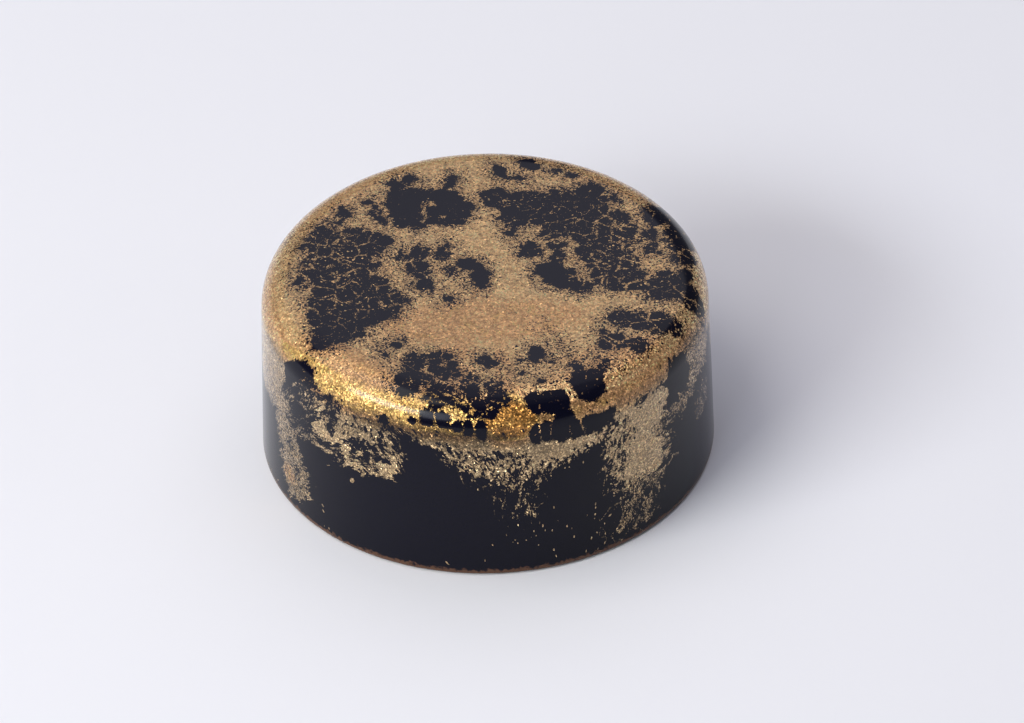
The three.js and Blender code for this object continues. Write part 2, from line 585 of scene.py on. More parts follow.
SIDE_HOLES = [
    (-53.2, 11.55, 0.72, 0.5, 8),
    (-56.8, 11.2, 0.7, 0.45, 20),
    (-56.2, 9.4, 1.3, 1.45, 0),
    (-51.8, 10.2, 0.6, 0.8, 15),
    (-50.6, 8.6, 0.55, 0.6, 0),
    (-42.8, 10.5, 0.6, 0.42, 0),
    (-42.8, 9.5, 0.36, 0.6, 15),
    (-35.5, 9.7, 0.28, 0.18, 0),
    (-32.0, 9.8, 0.22, 0.2, 0),
    (-34.5, 8.5, 0.75, 0.42, 15),
    (-32.0, 7.6, 0.36, 0.6, 0),
    (-26.9, 8.7, 0.32, 0.45, 0),
    (-41.0, 7.1, 0.5, 0.32, 20),
    (-36.5, 7.4, 0.18, 0.5, 0),
    (-59.6, 4.9, 0.1, 0.5, 10),
    (-57.2, 3.2, 0.1, 0.4, 0),
    (-26.3, 10.75, 0.42, 0.3, 0),
    (-27.6, 9.0, 0.35, 0.8, 5),
    # The row of cells on the front of the shoulder.
    (-18.8, 11.35, 0.3, 0.2, 0),
    (-14.6, 11.28, 0.6, 0.12, 0),
    (-10.0, 11.22, 0.55, 0.14, 0),
    (-15.1, 11.6, 0.5, 0.35, 0),
    (-11.1, 11.6, 0.48, 0.35, 0),
    (-7.2, 11.28, 0.34, 0.37, 0),
    (-4.7, 11.17, 0.36, 0.52, 0),
    (-1.4, 11.08, 0.39, 0.62, 0),
    (-11.0, 12.22, 0.32, 0.17, 0),
    (-3.3, 11.95, 0.4, 0.21, 0),
    (0.9, 12.0, 0.56, 0.27, 0),
    # The dark above and below the thread right of the drop.
    (13.4, 12.18, 0.6, 0.42, 0),
    (17.5, 12.3, 0.85, 0.48, 5),
    (12.5, 10.5, 0.5, 0.74, 0),
    (15.6, 10.55, 0.62, 0.78, 0),
    (18.7, 10.6, 0.7, 0.87, 0),
    (20.0, 11.2, 0.62, 0.52, 0),
    (22.5, 10.35, 0.9, 0.67, 0),
    (26.5, 10.3, 0.9, 0.7, 0),
    (30.2, 10.15, 0.85, 0.7, -8),
    (32.6, 10.6, 0.4, 0.3, 0),
    (28.6, 12.25, 1.05, 0.5, 0),
    # In the column and right of it.
    (42.6, 10.3, 0.42, 0.28, 0),
    (49.3, 10.6, 0.22, 0.15, 0),
    (36.0, 9.3, 0.25, 0.22, 0),
    (36.3, 8.2, 0.6, 0.22, -10),
    (35.8, 6.7, 0.35, 0.25, 0),
    (43.6, 2.9, 0.3, 0.28, 0),
    (50.4, 7.8, 0.14, 0.6, 10),
    (51.0, 5.8, 0.16, 0.6, 15),
    (56.8, 10.9, 0.8, 0.65, 0),
    (57.8, 9.6, 1.2, 1.0, 0),
    (58.5, 6.3, 1.4, 0.7, 0),
    # At the back.
    (97.5, 11.1, 0.55, 0.22, 15),
    (104.0, 8.4, 0.3, 0.5, 10),
    (122.0, 11.0, 1.1, 0.3, -8),
    (126.5, 11.6, 0.4, 0.24, 0),
    (135.0, 10.1, 0.45, 0.7, 20),
    (148.5, 8.6, 0.5, 0.3, 0),
    (169.0, 11.5, 1.2, 0.32, 10),
    (175.0, 10.9, 0.5, 0.35, 0),
    (-176.5, 8.0, 0.35, 0.6, 0),
    (-161.0, 10.3, 0.3, 0.6, 10),
    (-147.5, 7.8, 0.6, 0.3, 10),
    (-137.0, 11.7, 0.5, 0.2, 0),
    (-132.0, 10.9, 0.9, 0.3, -15),
    (-110.5, 11.5, 0.35, 0.18, 20),
    (-104.0, 8.4, 0.35, 0.5, 0),
    (-95.5, 10.4, 0.6, 0.3, -20),
]
# Thin dust that crosses those holes.
SIDE_THREADS = [
    (13.4, 10.5, 0.06, 0.75, 3),
    (16.2, 10.7, 0.045, 0.6, -3),
    (21.2, 10.35, 0.06, 0.35, 5),
    (24.2, 10.6, 0.05, 0.5, 12),
    (25.2, 10.1, 0.05, 0.3, 40),
    (14.5, 11.5, 0.75, 0.17, -12),
    (18.7, 11.85, 0.7, 0.11, 4),
    (13.9, 12.3, 0.05, 0.3, 3),
    (-13.05, 11.55, 0.06, 0.3, 0),
    (-5.95, 11.25, 0.055, 0.4, 0),
    (-3.1, 11.2, 0.055, 0.5, 0),
    (-53.5, 11.55, 0.1, 0.06, 0),
    (-54.7, 9.6, 1.2, 0.045, 39),
    (-56.5, 10.1, 0.6, 0.03, 50),
]

# Where threads and specks of dust lace the dark: as above, and how strongly, from 0 to 1.
TOP_LACE = [
    (-9.0, 4.4, 2.4, 1.6, 0, 0.65),
    (-9.4, 2.0, 3.2, 2.6, 0, 0.8),
    (-9.6, -0.5, 3.4, 1.8, 0, 0.85),
    (-7.6, -2.8, 3.6, 2.2, 0, 0.6),
    (-9.0, -5.6, 2.2, 2.2, 0, 0.3),
    (-3.6, 0.2, 1.8, 3.0, 0, 0.4),
    (-3.4, 6.8, 3.2, 3.4, 0, 0.1),
    (4.0, 6.2, 5.0, 2.6, 0, 0.3),
    (7.0, 3.4, 3.0, 2.4, 0, 0.7),
    (8.0, -0.4, 2.8, 3.0, 0, 0.85),
    (4.4, 1.8, 1.6, 1.3, 0, 0.5),
    (10.8, 0.6, 2.2, 2.4, 0, 0.85),
    (11.2, -2.8, 2.4, 1.6, 0, 0.65),
    (11.2, 4.8, 1.8, 2.4, 0, 0.4),
    (9.0, -6.8, 3.2, 2.4, 0, 0.65),
    (-3.4, -10.0, 2.6, 2.2, 0, 0.3),
    (-0.6, -12.2, 3.2, 1.6, 0, 0.42),
    (3.6, -12.6, 1.8, 0.9, 0, 0.3),
    (6.3, -11.0, 1.2, 1.2, 0, 0.4),
]
SIDE_LACE = [
    (-35.0, 8.6, 3.6, 2.6, 0, 0.7),
    (-49.6, 9.4, 1.5, 2.0, 0, 0.75),
    (-56.0, 7.2, 1.8, 1.0, 0, 0.5),
    (4.0, 7.6, 3.0, 1.2, 0, 0.7),
    (7.0, 5.8, 2.0, 1.8, 0, 0.22),
    (34.0, 6.8, 1.4, 3.4, 0, 0.7),
    (38.0, 2.2, 2.8, 1.8, 0, 0.55),
    (53.0, 6.4, 1.5, 2.8, 0, 0.35),
    (106.0, 6.0, 2.6, 4.0, 0, 0.8),
    (128.0, 8.0, 3.0, 2.2, 0, 0.8),
    (150.0, 6.6, 2.6, 3.0, 0, 0.9),
    (-175.0, 5.8, 2.4, 4.2, 0, 0.8),
    (-147.0, 6.6, 3.0, 2.4, 0, 0.9),
    (-118.0, 7.4, 2.0, 2.4, 0, 0.7),
    (-102.0, 6.0, 2.2, 3.6, 0, 0.8),
]

# Loose grains of dust in the dark on the side: as above, and the share of places that hold one.
SIDE_GRAINS = [
    (7.0, 6.8, 2.8, 1.2, 0, 0.3),
    (7.5, 5.0, 2.4, 1.6, 0, 0.2),
    (8.0, 3.4, 2.4, 1.4, 0, 0.1),
    (15.0, 8.0, 2.6, 0.9, 0, 0.2),
    (-35.0, 8.4, 3.6, 1.9, 0, 0.16),
    (-36.0, 6.2, 2.2, 0.9, 0, 0.16),
    (32.5, 7.0, 1.4, 3.2, 0, 0.34),
    (37.0, 2.6, 3.4, 2.2, 0, 0.22),
    (26.0, 1.6, 3.0, 1.6, 0, 0.1),
    (53.0, 6.4, 1.4, 2.8, 0, 0.12),
    (-57.0, 7.4, 1.8, 1.0, 0, 0.2),
    (-45.0, 1.2, 1.6, 0.8, 0, 0.14),
    (-56.0, 9.4, 1.4, 1.2, 0, 0.03),
    (20.0, 10.4, 2.8, 0.6, 0, 0.05),
    (106.0, 5.0, 3.0, 4.0, 0, 0.14),
    (128.0, 7.6, 3.0, 2.2, 0, 0.2),
    (151.0, 5.6, 2.8, 3.4, 0, 0.2),
    (-174.0, 4.6, 3.0, 4.2, 0, 0.16),
    (-146.0, 5.6, 3.0, 2.8, 0, 0.2),
    (-118.0, 6.4, 2.0, 2.4, 0, 0.16),
    (-102.0, 5.0, 2.6, 3.6, 0, 0.14),
]

# Where the dust's edge is clean, and where the dust breaks into flakes a millimetre or more inside
# its edge. The last number is how much.
CRISP = [
    (2.0, 11.2, 6.4, 1.0, 0, 1.0),
    (20.0, 11.3, 4.6, 1.9, 0, 1.0),
    (-54.0, 11.3, 1.8, 0.7, 0, 0.5),
    (-26.3, 10.8, 0.8, 0.6, 0, 0.6),
    (57.0, 10.6, 2.2, 1.4, 0, 0.3),
    (-16.0, 9.3, 1.4, 0.6, 30, 0.5),
]
FRAYED = [
    (-9.0, 9.15, 1.7, 0.95, -40, 1.0),
    (-2.0, 8.7, 2.0, 1.3, 0, 1.0),
    (6.0, 8.2, 1.9, 1.45, 0, 1.0),
    (14.5, 8.0, 2.3, 0.8, 0, 1.0),
    (24.0, 8.6, 1.7, 0.35, 8, 0.9),
    (-16.5, 10.1, 1.3, 0.4, 20, 0.8),
    (-23.0, 10.5, 1.0, 0.4, 0, 0.85),
    (-36.5, 8.6, 3.9, 2.5, 0, 0.8),
    (-48.4, 9.6, 1.2, 2.0, 0, 1.0),
    (-55.0, 7.0, 2.0, 0.8, 0, 0.95),
    (33.2, 7.0, 1.0, 3.8, 0, 1.0),
    (51.8, 6.0, 0.9, 3.4, 0, 1.0),
    (42.0, 2.8, 3.0, 1.9, 0, 1.0),
    (43.0, 7.2, 2.6, 3.6, 0, 0.66),
    (-64.0, 5.0, 3.6, 4.6, 0, 0.35),
    (68.0, 8.0, 3.6, 3.4, 0, 0.8),
    (106.0, 5.0, 3.0, 4.0, 0, 0.7),
    (128.0, 8.6, 3.0, 2.2, 0, 0.95),
    (151.0, 6.6, 2.8, 3.4, 0, 0.9),
    (-174.0, 5.6, 3.0, 4.2, 0, 0.8),
    (-146.0, 6.6, 3.0, 2.8, 0, 0.9),
    (-118.0, 7.4, 2.0, 2.4, 0, 0.8),
    (-102.0, 6.0, 2.6, 3.6, 0, 0.7),
]

# Where the dust is so thin that the dark shows between its flakes. The last number is how thin.
THIN_DUST = [
    (71.5, 5.6, 2.0, 1.5, 0, 0.65),
    (58.0, 7.8, 3.2, 0.9, 5, 0.45),
    (68.0, 10.0, 3.0, 2.2, 0, 0.35),
    (42.0, 2.6, 2.8, 2.2, 0, 0.4),
    (-54.0, 7.0, 2.4, 0.9, 8, 0.4),
    (-63.0, 4.6, 3.8, 4.4, 0, 0.28),
    (7.0, 6.2, 3.4, 1.8, 0, 0.3),
    (107.0, 4.0, 2.0, 2.4, 0, 0.4),
    (150.0, 5.6, 2.4, 2.0, 0, 0.4),
    (-172.0, 3.4, 2.2, 2.4, 0, 0.4),
    (-146.0, 5.4, 2.6, 1.6, 0, 0.4),
    (-101.0, 4.6, 1.6, 2.4, 0, 0.4),
]

# Where the dust is darker: under the turn of the shoulder and just above the key's streak this is
# painted shade, and low on the left stripe it is duller dust. The last number is how much darker.
DULL_AND_SHADED_DUST = [
    (-14.0, 10.55, 5.6, 0.75, 0, 0.84),
    (-29.0, 10.85, 3.4, 0.55, 0, 0.72),
    (2.0, 10.1, 4.0, 0.55, 0, 0.7),
    (2.0, 9.3, 5.0, 0.9, 0, 0.25),
    (-36.0, 10.6, 4.6, 0.55, 0, 0.6),
    (-32.0, 9.4, 3.4, 1.2, 0, 0.3),
    (-26.0, 12.45, 5.0, 0.3, 0, 0.35),
    (-67.0, 10.8, 2.2, 0.5, 0, 0.5),
    (14.5, 11.5, 1.3, 0.35, 0, 0.75),
    (27.0, 11.4, 3.0, 0.8, 0, 0.35),
    (43.0, 10.9, 3.2, 0.7, 0, 0.5),
    (62.0, 11.0, 3.0, 0.8, 0, 0.5),
    (-64.0, 5.4, 4.2, 5.0, 0, 0.32),
    (100.0, 10.8, 5.0, 0.6, 0, 0.35),
    (145.0, 10.8, 6.0, 0.6, 0, 0.35),
    (-160.0, 10.8, 6.0, 0.6, 0, 0.35),
    (-115.0, 10.8, 6.0, 0.6, 0, 0.35),
]

# How far round the bonbon a drip drifts as it falls: azimuth and millimetres a millimetre.
SLANTS = [
    (-180, 0.1), (-150, -0.3), (-120, 0.2), (-90, -0.5), (-70, -0.9), (-50, -0.8), (-42, -0.4),
    (-32, -0.05), (-20, 0.5), (-8, 0.5), (4, 0.25), (14, 0.05), (30, -0.15), (44, -0.05), (54, 0.5),
    (70, 0.8), (90, 0.4), (120, -0.3), (150, 0.3), (180, 0.1),
]

# Where the dust lies thick: on the top, where it looks browner, and on the shoulder, where it is
# deep orange gold. The last number is how much.
THICK_DUST = [
    (0.0, -5.4, 6.5, 2.2, 3, 1.0),
    (7.0, -9.6, 4.0, 1.4, 30, 0.5),
    (-8.6, -9.3, 4.6, 1.6, -40, 0.95),
    (8.2, -9.4, 3.6, 1.3, 40, 0.95),
    (-9.0, 9.0, 7.0, 1.8, 45, 0.5),
    (8.0, 10.0, 7.0, 1.6, -38, 0.5),
]
SATURATED = [
    (6.0, 11.5, 2.15, 1.5, 0, 1.0),
    (-32.0, 11.65, 9.0, 1.25, 0, 0.78),
    (-12.0, 11.7, 4.5, 1.4, 0, 0.82),
    (20.0, 11.4, 3.5, 1.1, 0, 0.66),
    (41.0, 11.5, 4.5, 1.0, 0, 0.62),
    (58.0, 11.6, 3.0, 0.8, 0, 0.5),
    (-82.0, 11.8, 5.0, 0.9, 0, 0.55),
    (-60.5, 2.4, 0.7, 0.5, 0, 0.95),
]


# The fine mesh

def section():
    """Radius and height from the level top's edge, over the shoulder and down the side to the base."""
    level = HEIGHT - TOP_CROWN
    side_top_radius = BASE_RADIUS - (level - BASE_EDGE) * math.tan(DRAFT)
    turn = math.pi / 2 - DRAFT
    level_radius = side_top_radius - SHOULDER_RADIUS * math.tan(turn / 2)
    arc_steps = round(SHOULDER_RADIUS * turn / FINE_STEP)
    arc = []
    for i in range(arc_steps + 1):
        angle = math.pi / 2 - turn * i / arc_steps
        arc.append((
            level_radius + SHOULDER_RADIUS * math.cos(angle),
            level - SHOULDER_RADIUS * (1 - math.sin(angle)),
        ))
    top_radius, top_height = arc[-1]
    coarse_steps = round((COARSE_BELOW - BASE_EDGE) / COARSE_STEP)
    heights = list(np.arange(top_height, COARSE_BELOW, -FINE_STEP)[1:])
    heights += list(np.linspace(COARSE_BELOW, BASE_EDGE, coarse_steps + 1))
    side = []
    for height in heights:
        share = (top_height - height) / (top_height - BASE_EDGE)
        side.append((top_radius + (BASE_RADIUS - top_radius) * share, height))
    return arc, side


def disc_from_square(x, y):
    """The point of a unit disc for a point of the square from -1 to 1: even all over, then drawn
    forwards by a Moebius map, which keeps the rim round and makes the mesh finest at the front."""
    if x == 0 and y == 0:
        point = 0j
    elif abs(x) > abs(y):
        point = x * np.exp(1j * math.pi / 4 * y / x)
    else:
        point = y * np.exp(1j * (math.pi / 2 - math.pi / 4 * x / y))
    forwards = DRAWN_FORWARDS * 1j
    drawn = (point - forwards) / (1 + forwards * point)
    return drawn.real, drawn.imag


def add_ring(bm, rim, scale, drop):
    """Extrudes an open rim of edges, then scales and drops the new rim, which it returns."""
    made = bmesh.ops.extrude_edge_only(bm, edges=rim)["geom"]
    verts = [g for g in made if isinstance(g, bmesh.types.BMVert)]
    edges = [g for g in made if isinstance(g, bmesh.types.BMEdge)]
    bmesh.ops.scale(bm, verts=verts, vec=(scale, scale, 1))
    bmesh.ops.translate(bm, verts=verts, vec=(0, 0, -drop))
    return edges, verts


def bonbon_mesh():
    """The whole form in millimetres: an even disc for the top, rings down the side, and the base."""
    arc, side = section()
    level_radius, level = arc[0]
    bm = bmesh.new()
    bmesh.ops.create_grid(bm, x_segments=TOP_CELLS, y_segments=TOP_CELLS, size=1)
    for v in bm.verts:
        x, y = disc_from_square(v.co.x, v.co.y)
        rise = TOP_CROWN * (1 - x * x - y * y)
        v.co = (x * level_radius, y * level_radius, level + rise)
    rim = [e for e in bm.edges if e.is_boundary]
    radius, height = level_radius, level
    base = [(BASE_RADIUS - BASE_EDGE / 2, BASE_EDGE / 3)]
    base += [(BASE_RADIUS - BASE_EDGE - inset, 0) for inset in BASE_INSETS]
    for next_radius, next_height in arc[1:] + side + base:
        rim, verts = add_ring(bm, rim, next_radius / radius, height - next_height)
        radius, height = next_radius, next_height
    bmesh.ops.pointmerge(bm, verts=verts, merge_co=(0, 0, 0))
    bmesh.ops.recalc_face_normals(bm, faces=bm.faces)
    return bm


# The marbling's values at each vertex

def azimuth_of(points):
    """Degrees round the bonbon, 0 in front and rising to the right."""
    return np.degrees(np.arctan2(points[:, 0], -points[:, 1]))


def wall(azimuth, height, centre):
    """Millimetres along and up the side's wall, measured from a centre azimuth."""
    across = ((azimuth - centre + 180) % 360 - 180) * WALL_MM_PER_DEGREE
    return np.stack([across, height], 1)


def ovals_gap(plane, ovals, melt, wrapped=False):
    """Distance from the edge of a group of ovals, which melt together where they meet."""
    nearest = np.full(len(plane), 50.0)
    for x, y, half_long, half_wide, turn in ovals:
        if wrapped:
            gap = oval_gap(wall(plane[:, 0], plane[:, 1], x), 0, y, half_long, half_wide, turn)
        else:
            gap = oval_gap(plane, x, y, half_long, half_wide, turn)
        share = np.clip(0.5 + (nearest - gap) / (2 * melt), 0, 1)
        nearest = nearest + (gap - nearest) * share - melt * share * (1 - share)
    return nearest


def patches(plane, ovals, wrapped=False, soft=0.6):
    """The strongest of a group of soft-edged ovals, whose last number is the strength."""
    most = np.zeros(len(plane))
    for *oval, strength in ovals:
        gap = ovals_gap(plane, [oval], melt=0.1, wrapped=wrapped)
        most = np.maximum(most, strength * ease_between(0.8 * soft, -1.2 * soft, gap))
    return most


def top_dust_depth(bent_top, height):
    """Depth into the dust on the top: less than 0 in a pool, but for its islands."""
    pools = ovals_gap(bent_top, TOP_POOLS, melt=0.18)
    islands = -ovals_gap(bent_top, TOP_ISLANDS, melt=0.1)
    return np.where(height > TOP_OVALS_ABOVE, np.maximum(pools, islands), NO_EDGE)


def side_dust_depth(bent_side, height):
    """Depth into the dust on the side: above its edge or in a smear, out of the holes or in a thread."""
    edge_azimuth, edge_height = np.array(DUST_EDGE).T
    above_edge = bent_side[:, 1] - np.interp(bent_side[:, 0], edge_azimuth, edge_height)
    holes = ovals_gap(bent_side, SIDE_HOLES, melt=0.06, wrapped=True)
    smears = -ovals_gap(bent_side, SIDE_SMEARS, melt=0.25, wrapped=True)
    threads = -ovals_gap(bent_side, SIDE_THREADS, melt=0.04, wrapped=True)
    depth = np.maximum(np.minimum(np.maximum(above_edge, smears), holes), threads)
    return np.where(height < SIDE_OVALS_BELOW, depth, NO_EDGE)


def marbling(points):
    """Seven values a vertex: depth into the dust in millimetres, less than 0 in the dark, how far its
    edge frays, how thin it gets towards its edge, how much lace and how many grains lie in the dark,
    and the dust's tone and how much darker it is, mostly painted shade under the shoulder's turn."""
    height = points[:, 2]
    on_top = ease_between(*SIDE_TO_TOP, height)
    on_side = 1 - on_top
    level_top = ease_between(*SHOULDER_TO_LEVEL, height)
    top, side = points[:, :2], np.stack([azimuth_of(points), height], 1)
    crisp = patches(side, CRISP, wrapped=True) * ease_between(*CRISP_ENDS, height)
    frayed = patches(side, FRAYED, wrapped=True, soft=0.3)
    top_lace = patches(top, TOP_LACE)

    # Edges wander a little, so that no oval shows as one.
    bend = EDGE_WANDER * rough_noises(points, TOP_LUMP, (11, 21))
    bent_top = top + bend * (1 - CRISP_OFF_TOP_WANDER * crisp[:, None])
    bend = EDGE_WANDER * rough_noises(points * (1, 1, SIDE_SQUEEZE), SIDE_LUMP, (41, 51))
    bend = bend * (1 - CRISP_OFF_SIDE_WANDER * crisp[:, None])
    bent_side = side + bend * (1 / WALL_MM_PER_DEGREE, 1)

    depth = np.minimum(top_dust_depth(bent_top, height), side_dust_depth(bent_side, height))
    depth = np.minimum(depth, FRAYED_DEPTH + DEEPEST * (1 - frayed))
    fray = TOP_FRAY * on_top + SIDE_FRAY * on_side + MORE_FRAY * frayed
    fray = fray * (1 - CRISP_OFF_FRAY * crisp)
    top_thinning = TOP_THINNING * level_top * (1 - crisp)
    thinning = np.maximum(top_thinning, patches(side, THIN_DUST, wrapped=True))
    side_lace = patches(side, SIDE_LACE, wrapped=True)
    lace = top_lace * on_top * (1 - CRISP_OFF_LACE * crisp) + side_lace * on_side
    side_grains = patches(side, SIDE_GRAINS, wrapped=True)
    grains = TOP_GRAINS * top_lace * on_top + side_grains * on_side
    grains = np.maximum(grains, FOOT_GRAINS * ease_between(*SPECKS_NEAR_FOOT, height))
    tone = USUAL_TONE + THICK_DEEPER * patches(top, THICK_DUST) * on_top
    tone = tone * ease_between(*PALE_TO_FULL_TONE, height)
    return {
        "dust_depth": np.clip(depth, -DEEPEST, DEEPEST),
        "fray": fray,
        "thinning": thinning,
        "lace": lace,
        "grains": grains,
        "tone": np.maximum(tone, patches(side, SATURATED, wrapped=True)),
        # Painted shade under the turn of the shoulder, and duller dust low on the left stripe.
        "dullness": patches(side, DULL_AND_SHADED_DUST, wrapped=True),
    }


def flow_space(points):
    """Where each point would be if the dust hadn't flowed. Threads and grains are laid out in it, so
    they come out long where they ran down the side, at a slant that changes round the bonbon."""
    height = points[:, 2]
    slant_azimuth, slant = np.array(SLANTS).T
    fall = np.minimum(height - FLOW_START, 0)
    turn = np.interp(azimuth_of(points), slant_azimuth, slant) * fall / FLOW_RADIUS
    flow_x = points[:, 0] * np.cos(turn) - points[:, 1] * np.sin(turn)
    flow_y = points[:, 0] * np.sin(turn) + points[:, 1] * np.cos(turn)
    flow = np.stack([flow_x, flow_y, height - FLOW_SHORTENING * fall], 1)
    return flow + FLOW_WANDER * rough_noises(points, FLOW_LUMP, (61, 71, 81), octaves=2)


def dress_mesh(bm):
    """Turns the bmesh into the piece's mesh, with the marbling as attributes, in metres."""
    mesh = bpy.data.meshes.new("bonbon_shell")
    bm.to_mesh(mesh)
    bm.free()
    points = np.empty(len(mesh.vertices) * 3)
    mesh.vertices.foreach_get("co", points)
    points = points.reshape(-1, 3)
    for name, values in marbling(points).items():
        attribute = mesh.attributes.new(name, "FLOAT", "POINT")
        attribute.data.foreach_set("value", values.astype(np.float32))
    attribute = mesh.attributes.new("flow_space", "FLOAT_VECTOR", "POINT")
    attribute.data.foreach_set("vector", flow_space(points).astype(np.float32).ravel())
    mesh.transform(Matrix.Diagonal((MM, MM, MM, 1)))
    mesh.shade_smooth()
    return mesh


# Materials

def new_material(name):
    material = bpy.data.materials.new(name)
    material.use_nodes = True
    tree = material.node_tree
    tree.nodes.clear()
    return material, tree


def dusted_shell():
    """Black cocoa butter cast against a polished mould, so a smooth glossy skin, marbled with mica
    gold dust that lies under that gloss. Its flakes each tilt their own way and glint one by one.
    A MapRange has its value, the two ends that it runs between, and what it gives at each."""
    material, tree = new_material("black_cocoa_butter_with_gold_dust")
    make = functools.partial(add_node, tree)
    names = ("dust_depth", "fray", "thinning", "lace", "grains", "tone", "dullness")
    here = {name: make("Attribute", {"attribute_name": name}, {}).outputs["Fac"] for name in names}
    flow = make("Attribute", {"attribute_name": "flow_space"}, {}).outputs["Vector"]
    place = make("TexCoord", {}, {}).outputs["Object"]
    in_mm = make("VectorMath", SCALE, {0: place, "Scale": 1 / MM})

    # The dust drew back from cells about a millimetre across, which scallop its edge.
    to_wall = make("TexVoronoi", {"feature": "DISTANCE_TO_EDGE"}, {"Vector": flow, "Scale": 1 / CELL})
    inwards = make("Math", MULTIPLY_ADD, [to_wall, -SCALLOP_SLOPE, SCALLOP_REACH])
    depth = make("Math", MULTIPLY_ADD, [inwards, here["thinning"], here["dust_depth"]])

    # The dust's edge is ragged at a quarter of a millimetre and below.
    lumps = {"Vector": flow, "Scale": 1 / EDGE_LUMP, "Detail": 3.0, "Roughness": 0.75}
    ragged = make("TexNoise", {}, lumps)
    rise = make("Math", SUBTRACT, [ragged, 0.5])
    wander = make("Math", MULTIPLY, [rise, here["fray"]])
    edge = make("Math", MULTIPLY_ADD, [wander, RAGGEDNESS, depth])
    near_edge = make("MapRange", SMOOTH, [depth, *THINS_OVER, 1.0, 0.0])
    thinning = make("Math", MULTIPLY, [near_edge, here["thinning"]])
    thickness = make("Math", SUBTRACT, [1.0, thinning])
    within = make("MapRange", SMOOTH, [edge, *DUST_RIM, 0.0, 1.0])
    cover = make("Math", MULTIPLY, [within, thickness])

    # Threads follow the walls of those cells.
    patchy = make("TexNoise", {}, {"Vector": in_mm, "Scale": 1 / PATCH, "Detail": 3.0, "Roughness": 0.6})
    width = make("Math", MULTIPLY_ADD, [patchy, THREAD_WIDTH, -THREAD_LESS])
    width = make("Math", MULTIPLY, [width, here["lace"]])
    width = make("Math", MULTIPLY_ADD, [rise, THREAD_RAGGEDNESS, width])
    inside = make("Math", SUBTRACT, [width, to_wall])
    thread = make("MapRange", SMOOTH, [inside, *THREAD_RIM, 0.0, THREAD_STRENGTH])
    laced = make("MapRange", SMOOTH, [here["lace"], 0.02, 0.2, 0.0, 1.0])
    thread = make("Math", MULTIPLY, [thread, laced])

    # Between them the dust is breathed on in thin blotches.
    blotch = make("MapRange", SMOOTH, [ragged, *BLOTCH_OVER, 0.0, BLOTCH_STRENGTH])
    blotch = make("Math", MULTIPLY, [blotch, here["lace"]])
    lace = make("Math", MAXIMUM, [thread, blotch])

    # Loose grains, drawn out along the flow, and pores near the dust's edge.
    specks = make("TexVoronoi", {"feature": "F1"}, {"Vector": flow, "Scale": 1 / GRAIN_SPACING})
    chances = make("SeparateColor", {}, [specks.outputs["Color"]])
    wanted = make("Math", LESS_THAN, [chances.outputs["Red"], here["grains"]])
    speck = make("MapRange", SMOOTH, [specks, *GRAIN_RIM, 0.0, 1.0])
    speck = make("Math", MULTIPLY, [speck, wanted])
    pore_share = make("MapRange", SMOOTH, [depth, *PORES_OVER, PORE_SHARE, 0.0])
    unwanted = make("Math", LESS_THAN, [chances.outputs["Green"], pore_share])
    pore = make("MapRange", SMOOTH, [specks, *PORE_RIM, 0.0, 1.0])
    pore = make("Math", MULTIPLY, [pore, unwanted])
    chance = make("Math", SUBTRACT, [cover, pore])
    chance = make("Math", MAXIMUM, [chance, lace])
    chance = make("Math", MAXIMUM, [chance, speck])

    # Each flake is there or not by its own draw against that chance.
    flakes = make("TexVoronoi", {"feature": "F1"}, {"Vector": in_mm, "Scale": 1 / FLAKE})
    draw = make("SeparateColor", {}, [flakes.outputs["Color"]])
    stretched = make("Math", MULTIPLY_ADD, [chance, 1.08, -0.1])
    won = make("Math", SUBTRACT, [stretched, draw.outputs["Red"]])
    gold = make("MapRange", SMOOTH, [won, *FLAKE_RIM, 0.0, 1.0])

    # Thin dust over black is khaki, thick dust brown gold, and the thickest on the shoulder orange gold.
    tone = make("Math", SUBTRACT, [patchy, 0.5])
    tone = make("Math", MULTIPLY_ADD, [tone, 0.5, here["tone"]])
    tones = make("ValToRGB", {}, [tone])
    stops = tones.color_ramp.elements
    for position, hex_colour in DUST_TONES:
        stops.new(position).color = linear(hex_colour)
    stops[0].color = linear(THIN_DUST_TONE)
    stops[-1].color = linear(THICK_DUST_TONE)

    # Some flakes are far brighter than the rest, and dust is darker where it is thin, and darker
    # again by the painted shade under the shoulder's turn and where it is dull.
    bright = make("Math", POWER, [draw.outputs["Green"], BRIGHT_RARITY])
    shade = make("Math", MULTIPLY_ADD, [bright, BRIGHTER, DIMMEST])
    mottle = make("TexNoise", {}, {"Vector": in_mm, "Scale": 1 / MOTTLE, "Detail": 1.0})
    mottled = make("MapRange", SMOOTH, [mottle, 0.3, 0.7, *MOTTLED])
    shade = make("Math", MULTIPLY, [shade, mottled])
    full = make("MapRange", SMOOTH, [chance, *THIN_OVER, THIN_SHADE, 1.0])
    shade = make("Math", MULTIPLY, [shade, full])
    # Painted shade under the shoulder's turn darkens the flakes, as does duller dust.
    undimmed = make("Math", SUBTRACT, [1.0, here["dullness"]])
    shade = make("Math", MULTIPLY, [shade, undimmed])
    shaded = make("VectorMath", SCALE, {0: tones, "Scale": shade})

    # At the foot a rough line of bare brown chocolate shows, where the mould ended.
    height = make("SeparateXYZ", {}, [in_mm]).outputs["Z"]
    rough = make("TexNoise", {}, {"Vector": in_mm, "Scale": 1 / FOOT_LUMP, "Detail": 3.0})
    above = make("Math", MULTIPLY_ADD, [rough, -FOOT_LINE, height])
    bare = make("MapRange", SMOOTH, [above, *FOOT_RIM, 0.0, 1.0])
    shell = {0: bare, 6: linear(BLACK_BUTTER), 7: linear(BARE_CHOCOLATE)}
    shell = make("Mix", COLOURS, shell).outputs[2]
    colour = make("Mix", COLOURS, {0: gold, 6: shell, 7: shaded}).outputs[2]
    metal = make("Math", MULTIPLY, [gold, DUST_METAL])
    roughness = make("MapRange", {}, [gold, 0.0, 1.0, BUTTER_ROUGHNESS, DUST_ROUGHNESS])

